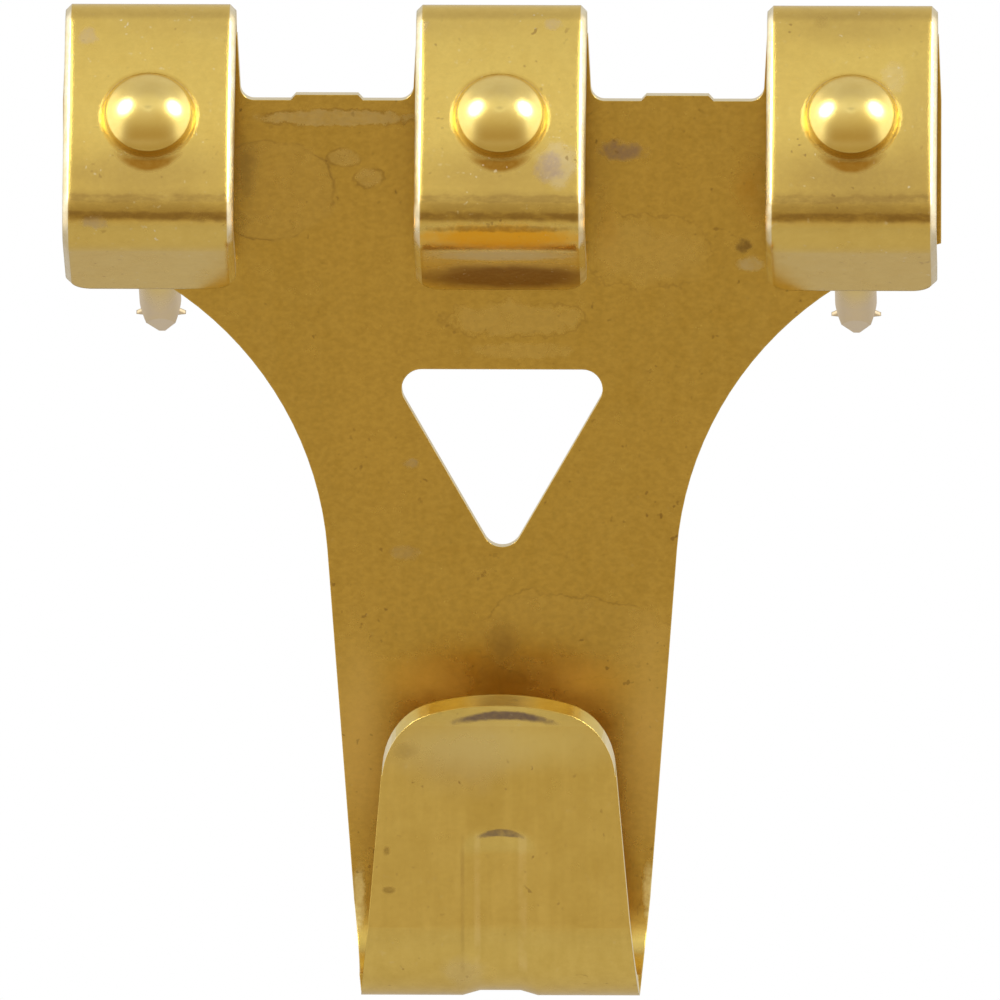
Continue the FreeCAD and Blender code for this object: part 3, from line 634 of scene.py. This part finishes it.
    def _specks_and_dust(self, writer: NodeWriter, effects: SharedEffects, point: Socket,
                         sides: dict[Side, Socket], colour: Socket) -> Socket:
        """Strew dark specks over the sheet, and pale dust, most of it on the loops.

        Args:
            writer: The material's writer.
            effects: The shared node groups.
            point: The place on the part.
            sides: The mask of each side.
            colour: The colour so far.

        Returns:
            The colour with specks and dust.
        """
        specks = writer.use(effects.specks, Point=point, Scale=2.6, Cover=0.6)
        share = writer.math("MULTIPLY", specks.outputs["Mask"], self.speck_strength)
        colour = writer.mix(share, colour, self.grime_and_shade)
        dust = writer.use(effects.specks, Point=writer.stretch(point, (1.4, 1.4, 1.1)), Scale=2.9, Cover=0.62)
        share = writer.lerp(sides[Side.LOOP], 0.12, self.speck_strength)
        return writer.mix(writer.math("MULTIPLY", dust.outputs["Mask"], share), colour, self.dust_and_edge_highlight)

    def _edge_radius(self, writer: NodeWriter, across: Socket, front: Socket, height: Socket,
                     sides: dict[Side, Socket]) -> Socket:
        """How far the edges are softened, in metres: most on the loops and along the bead.

        Args:
            writer: The material's writer.
            across: The distance from the middle.
            front: The distance in front of the wall.
            height: The height.
            sides: The mask of each side.

        Returns:
            The radius.
        """
        radius = writer.lerp(sides[Side.LOOP], self.plate_edge_radius * MM, self.loop_edge_radius * MM)
        bead = writer.math("MULTIPLY", writer.step(front, *LIP_FRONT), writer.step(height, *BEAD_DOWN_FROM))
        near_middle = writer.step(writer.math("ABSOLUTE", across), *BEAD_SIDES)
        return writer.lerp(writer.math("MULTIPLY", bead, near_middle), radius, self.bead_radius * MM)

    @staticmethod
    def _sides(writer: NodeWriter, front: Socket, height: Socket) -> dict[Side, Socket]:
        """Masks of the plate, the loops and the lip.

        Args:
            writer: The material's writer.
            front: The distance in front of the wall.
            height: The height.

        Returns:
            A mask for each side.
        """
        ahead = writer.step(front, *AHEAD_OF_PLATE)
        upper = writer.step(height, *LOOPS_UP_FROM)
        rolled = writer.step(height, *ROLLED_TOP)
        return {
            Side.PLATE: writer.math("SUBTRACT", 1.0, ahead),
            Side.LOOP: writer.math("MAXIMUM", writer.math("MULTIPLY", ahead, upper), rolled),
            Side.LIP: writer.math("MULTIPLY", ahead, writer.math("SUBTRACT", 1.0, upper)),
        }

    def _stains_and_painted_light(self, writer: NodeWriter, effects: SharedEffects, point: Socket, front: Socket,
                sides: dict[Side, Socket], colour: Socket, rough: Socket) -> tuple[Socket, Socket]:
        """Lay the marks over the plating, and none on the face that lies on the wall.

        Args:
            writer: The material's writer.
            effects: The shared node groups.
            point: The place on the part.
            front: The distance in front of the wall.
            sides: The mask of each side.
            colour: The plating's colour.
            rough: The plating's roughness.

        Returns:
            The colour and the roughness with the marks.
        """
        facing = writer.step(front, *OFF_THE_WALL)
        shown = {side: writer.math("MULTIPLY", mask, facing) for side, mask in sides.items()}
        for mark in self.marks:
            least = min(mark.half_width, mark.half_height)
            spot = writer.use(effects.spot, Point=point, Across=mark.across, Height=mark.height,
                              Half_Width=mark.half_width, Half_Height=mark.half_height, Curve=mark.curve,
                              Ragged=mark.ragged, Break=1.0 / max(least, self.smallest_break), Grain=mark.grain,
                              Soft=mark.soft, Line=self.rim_line / least)
            here = writer.math("MULTIPLY", spot.outputs["Body"], shown[mark.side])
            share = writer.math("MULTIPLY", here, mark.strength)
            colour = writer.mix(share, colour, mark.tone)
            rough = writer.lerp(share, rough, mark.dull)
            if mark.rim > 0:
                rim = writer.math("MULTIPLY", spot.outputs["Rim"], shown[mark.side])
                colour = writer.mix(writer.math("MULTIPLY", rim, mark.rim), colour, self.grime_and_shade)
        return colour, rough

    @staticmethod
    def _edge_highlights(writer: NodeWriter, clouds: bpy.types.Node, sides: dict[Side, Socket]) -> Socket:
        """The loops' bevelled borders, painted pale as highlights.

        Args:
            writer: The material's writer.
            clouds: The plating's changes of tone.
            sides: The mask of each side.

        Returns:
            The borders' mask.
        """
        normal = writer.add("ShaderNodeSeparateXYZ")
        writer.feed(normal.inputs[0], writer.add("ShaderNodeNewGeometry").outputs["True Normal"])
        slanted = writer.step(writer.math("ABSOLUTE", normal.outputs["X"]), 0.3, 0.6)
        patchy = writer.lerp(clouds.outputs["Quick"], 0.55, 1.0)
        return writer.math("MULTIPLY", writer.math("MULTIPLY", slanted, sides[Side.LOOP]), patchy)

    def _bead_shading(self, writer: NodeWriter, point: Socket, across: Socket, height: Socket,
                    lip: Socket) -> tuple[Socket, Socket]:
        """Painted highlights along the bead's two walls, and a painted shade line at its left.

        Args:
            writer: The material's writer.
            point: The place on the part.
            across: The distance from the middle.
            height: The height.
            lip: The lip's mask.

        Returns:
            The masks of the pale and the dark lines.
        """
        along = writer.math("MULTIPLY", writer.band(height, *self.bead_run), lip)
        broken = writer.step(writer.noise(writer.stretch(point, (1.0, 1.0, 0.6)), 1.0, 4.0, 0.65), 0.3, 0.65)
        along = writer.math("MULTIPLY", along, broken)
        left = writer.band(across, *self.bead_left)
        right = writer.band(across, *self.bead_right)
        bead_shade = writer.band(across, *self.bead_shade_line)
        pale = writer.math("MULTIPLY", writer.math("MAXIMUM", left, right), 0.5)
        dark = writer.math("MULTIPLY", bead_shade, 0.25)
        return writer.math("MULTIPLY", pale, along), writer.math("MULTIPLY", dark, along)

    def _crease_shade(self, writer: NodeWriter, point: Socket, front: Socket, height: Socket) -> Socket:
        """Painted shade along each loop's crease: two dark lines and a darker band between them.

        Args:
            writer: The material's writer.
            point: The place on the part.
            front: The distance in front of the wall.
            height: The height.

        Returns:
            The lines' mask.
        """
        ahead = writer.step(front, *LOOP_FRONT)
        wander = writer.math("MULTIPLY", writer.math("SUBTRACT", writer.noise(point, 1.1, 5.0), 0.5), 0.5)
        level = writer.math("ADD", height, wander)
        strong = writer.math("MULTIPLY", writer.band(level, *self.crease_strong), 0.7)
        faint = writer.math("MULTIPLY", writer.band(level, *self.crease_faint), 0.55)
        patchy = writer.step(writer.noise(writer.stretch(point, (0.8, 0.8, 2.0)), 1.0, 4.0, 0.7), 0.25, 0.6)
        dull = writer.math("MULTIPLY", writer.band(level, *self.crease_shade_band), 0.4)
        lines = writer.math("MAXIMUM", writer.math("MAXIMUM", strong, faint), dull)
        lines = writer.math("MULTIPLY", lines, writer.lerp(patchy, 0.4, 1.0))
        return writer.math("MULTIPLY", lines, ahead)

    @staticmethod
    def _sheared_edges(writer: NodeWriter, front: Socket, height: Socket) -> Socket:
        """The cut faces of the blank: those that look sideways, and those within the plate that look up or down.

        Args:
            writer: The material's writer.
            front: The distance in front of the wall.
            height: The height.

        Returns:
            The cut faces' mask.
        """
        normal = writer.add("ShaderNodeSeparateXYZ")
        writer.feed(normal.inputs[0], writer.add("ShaderNodeNewGeometry").outputs["True Normal"])
        sideways = writer.step(writer.math("ABSOLUTE", normal.outputs["X"]), 0.75, 0.9)
        upright = writer.step(writer.math("ABSOLUTE", normal.outputs["Z"]), 0.4, 0.55)
        within = writer.step(front, *WITHIN_PLATE)
        flat = writer.math("MULTIPLY", writer.step(height, *ABOVE_BEND), writer.step(height, *BELOW_ROLL))
        plate = writer.math("MULTIPLY", writer.math("MULTIPLY", upright, within), flat)
        return writer.math("MAXIMUM", sideways, plate)


@dataclass(frozen=True)
class NailBrass:
    """Polished brass plating on the nails, painted with shade at the foot of the heads, and worn pale at the points.
    """

    bright: Colour = (0.90, 0.70, 0.24)
    shade: Colour = (0.82, 0.60, 0.16)
    worn: Colour = (0.80, 0.66, 0.45)
    # Painted shade for the heads' lower rim.
    shaded_foot: Colour = (0.62, 0.40, 0.07)
    roughness: float = 0.19
    worn_roughness: float = 0.3
    foot_shade_share: float = 0.75
    draw_lines: float = 0.2
    orange_peel: float = 0.5
    edge_radius: float = 0.12

    def make(self, effects: SharedEffects) -> bpy.types.Material:
        """Build the material.

        Args:
            effects: The shared node groups.

        Returns:
            The material.
        """
        material, writer, shader = new_metal("nail_brass_plating")
        place = writer.use(effects.place)
        point, front, height = (place.outputs[name] for name in ("Point", "Front", "Height"))
        clouds = writer.use(effects.clouds, Point=point)
        scratches = writer.use(effects.scratches, Point=point, Lines=self.draw_lines, Peel=self.orange_peel)
        colour = writer.mix(writer.lerp(clouds.outputs["Quick"], 0.0, 0.6), self.bright, self.shade)
        worn = writer.step(writer.math("MULTIPLY", front, -1.0), *POINT_WEAR)
        worn = writer.math("MULTIPLY", worn, writer.lerp(clouds.outputs["Quick"], 0.75, 1.0))
        colour = writer.mix(worn, colour, self.worn)
        # Painted shade on the lower rim of each head.
        foot = writer.math("MULTIPLY", writer.step(height, *HEAD_FOOT), writer.step(front, *HEAD_FRONT))
        colour = writer.mix(writer.math("MULTIPLY", foot, self.foot_shade_share), colour, self.shaded_foot)
        rough = writer.lerp(clouds.outputs["Quick"], self.roughness, self.roughness + 0.07)
        rough = writer.lerp(worn, rough, self.worn_roughness)
        feed_metal(writer, shader, colour, rough, self.edge_radius * MM, scratches.outputs["Height"])
        return material


@dataclass
class FoldedSheet:
    """The stamping: plate, nail loops, bend and lip in one piece."""

    node: str = "hook_body"
    finish: SheetBrass = field(default_factory=SheetBrass)

    def dress(self, effects: SharedEffects) -> None:
        """Give the stamping its plating.

        Args:
            effects: The shared node groups.
        """
        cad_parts[self.node].data.materials[0] = self.finish.make(effects)
        LOG.info("dressed %s", self.node)


@dataclass
class NailSet:
    """The three nails in their loops."""

    nodes: tuple[str, ...] = ("nail_left", "nail_centre", "nail_right")
    finish: NailBrass = field(default_factory=NailBrass)

    def dress(self, effects: SharedEffects) -> None:
        """Give the nails their plating.

        Args:
            effects: The shared node groups.
        """
        plating = self.finish.make(effects)
        for node in self.nodes:
            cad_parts[node].data.materials[0] = plating
            LOG.info("dressed %s", node)


@dataclass(frozen=True)
class Stop:
    """One stop of a side of the tent: a height above the level, in degrees, and its colour."""

    height: float
    colour: Colour


@dataclass
class Studio:
    """A white tent with a dim warm side behind the camera, two soft boxes, and a pale floor."""

    floor_drop: float = 0.3
    floor_size: float = 1.1
    floor_colour: Colour = (0.51, 0.47, 0.42)
    floor_lift: float = 0.5
    floor_roughness: float = 0.9
    floor_corners: int = 96
    tent: tuple[Stop, ...] = (
        Stop(-90.0, (0.56, 0.52, 0.47)),
        Stop(-10.0, (0.60, 0.56, 0.52)),
        Stop(10.0, (0.71, 0.70, 0.68)),
        Stop(50.0, (0.72, 0.70, 0.70)),
        Stop(90.0, (0.60, 0.57, 0.58)),
    )
    front_wall: tuple[Stop, ...] = (
        Stop(-90.0, (0.56, 0.52, 0.47)),
        Stop(-30.0, (0.61, 0.55, 0.46)),
        Stop(-17.0, (0.64, 0.57, 0.47)),
        Stop(-8.0, (0.43, 0.31, 0.13)),
        Stop(8.0, (0.48, 0.37, 0.21)),
        Stop(20.0, (0.58, 0.49, 0.32)),
        Stop(35.0, (0.69, 0.61, 0.46)),
        Stop(44.0, (0.78, 0.73, 0.64)),
        Stop(54.0, (0.95, 0.95, 0.93)),
        Stop(66.0, (0.84, 0.83, 0.79)),
        Stop(90.0, (0.60, 0.57, 0.58)),
    )
    front_wall_turn: tuple[float, float] = (62.0, 28.0)
    side_panel: float = 0.87
    side_panel_turn: tuple[float, float] = (46.0, 62.0)
    side_panel_rise: tuple[float, float, float] = (0.56, 0.14, 0.08)
    even_light: Colour = (0.8, 0.8, 0.8)
    white: Colour = (1.0, 1.0, 1.0)
    box_turn: float = 66.0
    box_height: float = 42.0
    box_distance: float = 0.7
    box_size: float = 0.32
    box_power: float = 2.2

    def build(self) -> None:
        """Make the world, the soft boxes and the floor."""
        self._world()
        for name, sign in (("left", -1.0), ("right", 1.0)):
            self._soft_box(f"soft_box_{name}", sign)
        self._floor()

    def _world(self) -> None:
        """The tent: plain white to the eye, and shaded towards the camera's side in what the brass mirrors."""
        world = bpy.data.worlds.new("white_tent")
        bpy.context.scene.world = world
        world.use_nodes = True
        writer = NodeWriter(world.node_tree)
        background = world.node_tree.nodes["Background"]
        parts = writer.add("ShaderNodeSeparateXYZ")
        writer.feed(parts.inputs[0], writer.add("ShaderNodeTexCoord").outputs["Generated"])
        angle = writer.math("ARCSINE", parts.outputs["Z"])
        along = writer.math("ADD", writer.math("DIVIDE", angle, math.pi), 0.5)
        upward = writer.math("MULTIPLY", parts.outputs["Z"], parts.outputs["Z"])
        level = writer.math("SQRT", writer.math("MAXIMUM", writer.math("SUBTRACT", 1.0, upward), 0.0001))
        facing = writer.math("DIVIDE", writer.math("MULTIPLY", parts.outputs["Y"], -1.0), level)
        share = writer.step(facing, *(math.cos(math.radians(turn)) for turn in self.front_wall_turn))
        around, ahead = (self._shades(writer, along, shades) for shades in (self.tent, self.front_wall))
        mirrored = writer.mix(share, around, ahead)
        sideways = writer.math("DIVIDE", writer.math("ABSOLUTE", parts.outputs["X"]), level)
        panel = writer.step(sideways, *(math.sin(math.radians(turn)) for turn in self.side_panel_turn))
        panel = writer.math("MULTIPLY", panel, writer.band(along, *self.side_panel_rise))
        boost = writer.math("ADD", writer.math("MULTIPLY", panel, self.side_panel), 1.0)
        mirrored = writer.vector("SCALE", mirrored)
        writer.feed(mirrored.node.inputs["Scale"], boost)
        ray = writer.add("ShaderNodeLightPath")
        seen = writer.math("MAXIMUM", ray.outputs["Is Camera Ray"], ray.outputs["Is Transmission Ray"])
        lit = writer.mix(ray.outputs["Is Glossy Ray"], self.even_light, mirrored)
        writer.feed(background.inputs["Color"], writer.mix(seen, lit, self.white))
        background.inputs["Strength"].default_value = 1.0

    @staticmethod
    def _shades(writer: NodeWriter, along: Socket, shades: tuple[Stop, ...]) -> Socket:
        """The colours of one side of the tent, from straight down to straight up.

        Args:
            writer: The world's writer.
            along: The height of a direction, from 0 to 1.
            shades: The stops, from the lowest to the highest.

        Returns:
            The colour in that direction.
        """
        ramp = writer.add("ShaderNodeValToRGB")
        stops = ramp.color_ramp.elements
        while len(stops) < len(shades):
            stops.new(0.5)
        for element, stop in zip(stops, shades):
            element.position = stop.height / 180.0 + 0.5
            element.color = (*stop.colour, 1.0)
        writer.feed(ramp.inputs[0], along)
        return ramp.outputs[0]

    def _soft_box(self, name: str, sign: float) -> None:
        """One soft box, aimed at the hook.

        Args:
            name: The lamp's name.
            sign: -1 for the left and 1 for the right.
        """
        turn = math.radians(self.box_turn) * sign
        rise = math.radians(self.box_height)
        away = Vector((math.sin(turn) * math.cos(rise), -math.cos(turn) * math.cos(rise), math.sin(rise)))
        bpy.ops.object.select_all(action="DESELECT")
        bpy.ops.object.light_add(type="AREA", location=away * self.box_distance)
        lamp = bpy.context.object
        lamp.name = name
        lamp.rotation_euler = away.to_track_quat("Z", "Y").to_euler()
        lamp.data.shape = "DISK"
        lamp.data.size = self.box_size
        lamp.data.energy = self.box_power
        lamp.visible_camera = False

    def _floor(self) -> None:
        """The pale floor, well below the hook, which hangs."""
        bpy.ops.object.select_all(action="DESELECT")
        bpy.ops.mesh.primitive_circle_add(
            vertices=self.floor_corners, radius=self.floor_size / 2, fill_type="NGON",
            location=(0, 0, -self.floor_drop)
        )
        floor = bpy.context.object
        floor.name = "pale_floor"
        material = bpy.data.materials.new("pale_floor")
        material.use_nodes = True
        writer = NodeWriter(material.node_tree)
        shader = material.node_tree.nodes["Principled BSDF"]
        shader.inputs["Base Color"].default_value = (*self.floor_colour, 1.0)
        shader.inputs["Roughness"].default_value = self.floor_roughness
        shader.inputs["Emission Color"].default_value = (*self.white, 1.0)
        ray = writer.add("ShaderNodeLightPath")
        lift = writer.math("MULTIPLY", ray.outputs["Is Camera Ray"], self.floor_lift)
        writer.feed(shader.inputs["Emission Strength"], lift)
        clear = writer.add("ShaderNodeBsdfTransparent")
        faced = writer.add("ShaderNodeMixShader")
        writer.feed(faced.inputs[0], writer.add("ShaderNodeNewGeometry").outputs["Backfacing"])
        writer.feed(faced.inputs[1], shader.outputs[0])
        writer.feed(faced.inputs[2], clear.outputs[0])
        writer.feed(material.node_tree.nodes["Material Output"].inputs["Surface"], faced.outputs[0])
        floor.data.materials.append(material)


@dataclass
class ViewCamera:
    """The camera, at the height and the turn of the picture."""

    target: tuple[float, float, float] = (-0.125, 0.0, -20.27)
    elevation: float = 8.0
    turn: float = 1.2
    distance: float = 2000.0
    field_width: float = 50.0
    sensor: float = 36.0
    clip_start: float = 0.01

    def build(self) -> None:
        """Make the camera and use it."""
        rise = math.radians(self.elevation)
        turn = math.radians(self.turn)
        away = Vector((math.sin(turn) * math.cos(rise), -math.cos(turn) * math.cos(rise), math.sin(rise)))
        bpy.ops.object.select_all(action="DESELECT")
        bpy.ops.object.camera_add(location=(Vector(self.target) + away * self.distance) * MM)
        camera = bpy.context.object
        camera.name = "front_camera"
        camera.rotation_euler = away.to_track_quat("Z", "Y").to_euler()
        camera.data.sensor_width = self.sensor
        camera.data.lens = self.sensor * self.distance / self.field_width
        camera.data.clip_start = self.clip_start
        bpy.context.scene.camera = camera


def main() -> None:
    """Dress the hook and set up the studio."""
    logging.basicConfig(level=logging.INFO)
    bpy.context.scene.view_settings.view_transform = "Standard"
    effects = SharedEffects()
    FoldedSheet().dress(effects)
    NailSet().dress(effects)
    Studio().build()
    ViewCamera().build()


if __name__ == "__main__":
    main()
